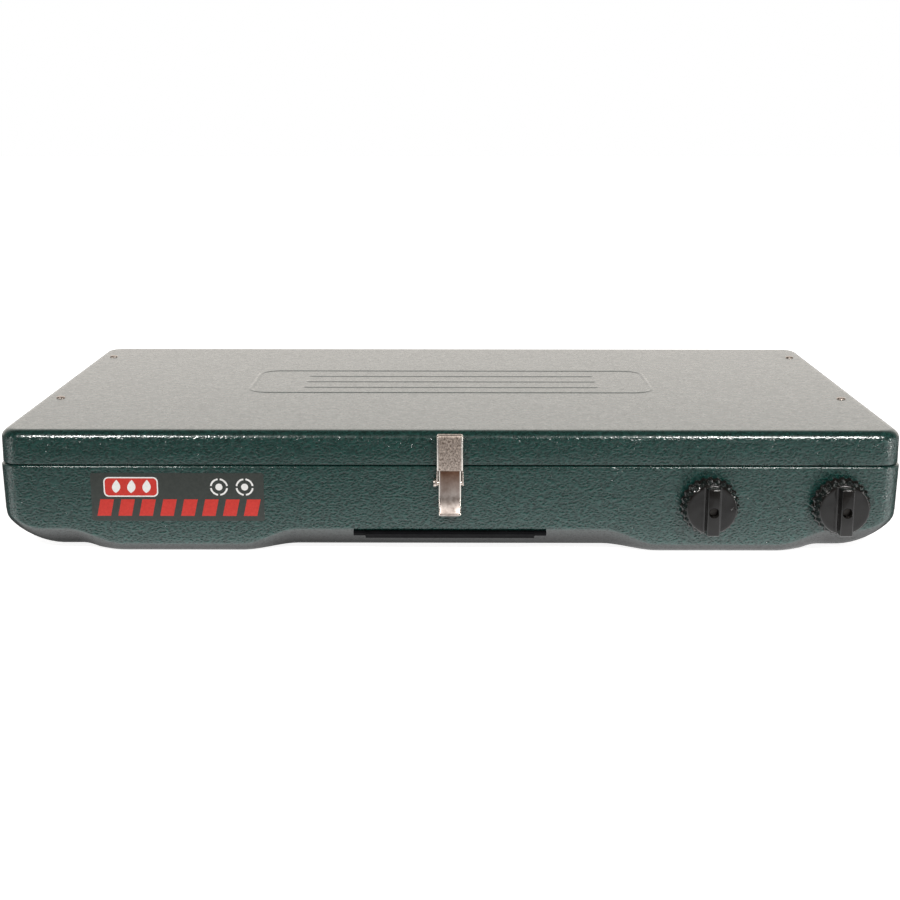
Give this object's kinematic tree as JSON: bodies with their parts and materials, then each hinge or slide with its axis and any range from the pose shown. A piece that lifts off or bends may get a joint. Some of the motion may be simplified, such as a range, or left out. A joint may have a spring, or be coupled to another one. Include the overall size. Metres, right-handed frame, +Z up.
{
  "type": "camp stove",
  "caption": "Folding propane camp stove, closed for carrying: suitcase case with hinged lid, draw latch, carry handle, burner knobs, and grate, burners and stored regulator inside.",
  "frame": {"origin": "centre of the footprint, on the table under the feet", "axes": "+Z up; -Y is the front with latch, handle and knobs; +X is the gas side; the case is widest along X"},
  "size_m": [0.564, 0.3546, 0.0802],
  "materials": {
    "green_hammertone_paint": "dark green hammertone gloss paint on pressed steel",
    "aluminised_steel": "satin aluminised sheet steel",
    "chromed_wire": "bright chromed wire",
    "nickel_plated_steel": "bright nickel-plated steel",
    "brass": "machined brass",
    "black_plastic": "moulded black phenolic plastic",
    "rubber": "moulded black rubber",
    "label_film": "dark grey printed film"
  },
  "bodies": {
    "case": {"lower_case": "green_hammertone_paint", "rubber_feet": "rubber", "drip_tray": "aluminised_steel", "tray_brackets": "aluminised_steel", "tray_screws": "nickel_plated_steel", "cooking_grate": "chromed_wire", "grate_clips": "aluminised_steel", "burner_body_left": "aluminised_steel", "burner_body_right": "aluminised_steel", "burner_cap_left": "aluminised_steel", "burner_cap_right": "aluminised_steel", "burner_screws": "nickel_plated_steel", "mixer_tube_left": "aluminised_steel", "mixer_tube_right": "aluminised_steel", "valve_body_left": "brass", "valve_body_right": "brass", "valve_nuts": "brass", "gas_jets": "brass", "gas_rail": "nickel_plated_steel", "inlet_fitting": "brass", "regulator_body": "aluminised_steel", "regulator_tube": "nickel_plated_steel", "regulator_plug": "brass", "latch_base": "nickel_plated_steel", "latch_base_rivets": "nickel_plated_steel", "latch_lever_pin": "nickel_plated_steel", "handle_guides": "aluminised_steel", "label": "label_film", "hinge_case_leaves": "nickel_plated_steel", "hinge_pins": "nickel_plated_steel", "hinge_case_rivets": "nickel_plated_steel"},
    "lid": {"lid": "green_hammertone_paint", "windscreen_left": "green_hammertone_paint", "windscreen_right": "green_hammertone_paint", "windscreen_rods": "chromed_wire", "windscreen_clips": "aluminised_steel", "lid_rivets": "nickel_plated_steel", "latch_catch": "nickel_plated_steel", "latch_catch_rivets": "nickel_plated_steel", "hinge_lid_leaves": "nickel_plated_steel", "hinge_lid_rivets": "nickel_plated_steel"},
    "left_knob": {"knob_left": "black_plastic", "knob_screw_left": "nickel_plated_steel", "valve_stem_left": "brass"},
    "right_knob": {"knob_right": "black_plastic", "knob_screw_right": "nickel_plated_steel", "valve_stem_right": "brass"},
    "latch_lever": {"latch_lever": "nickel_plated_steel", "latch_hook_pin": "nickel_plated_steel"},
    "latch_hook": {"latch_hook": "nickel_plated_steel"},
    "carry_handle": {"carry_handle": "black_plastic", "handle_stop_pins": "nickel_plated_steel"}
  },
  "joints": [
    {"name": "lid_hinge", "type": "hinge", "parent": "case", "child": "lid", "pos_m": [0, 0.17415, 0.057], "axis": [-1, 0, 0], "range_deg": [0, 105]},
    {"name": "knob_left_turn", "type": "hinge", "parent": "case", "child": "left_knob", "pos_m": [0.1615, -0.16535, 0.033], "axis": [0, -1, 0], "range_deg": [0, 270]},
    {"name": "knob_right_turn", "type": "hinge", "parent": "case", "child": "right_knob", "pos_m": [0.243, -0.16535, 0.033], "axis": [0, -1, 0], "range_deg": [0, 270]},
    {"name": "latch_lever_swing", "type": "hinge", "parent": "case", "child": "latch_lever", "pos_m": [0, -0.15795, 0.0535], "axis": [-1, 0, 0], "range_deg": [0, 90]},
    {"name": "latch_hook_swing", "type": "hinge", "parent": "latch_lever", "child": "latch_hook", "pos_m": [0, -0.15835, 0.0473], "axis": [-1, 0, 0], "range_deg": [-90, 0]},
    {"name": "handle_slide", "type": "slide", "parent": "case", "child": "carry_handle", "axis": [0, -1, 0], "range_m": [0, 0.024]}
  ],
  "couplings": [
    {"joint": "latch_hook_swing", "follows": "latch_lever_swing", "ratio": -1}
  ]
}
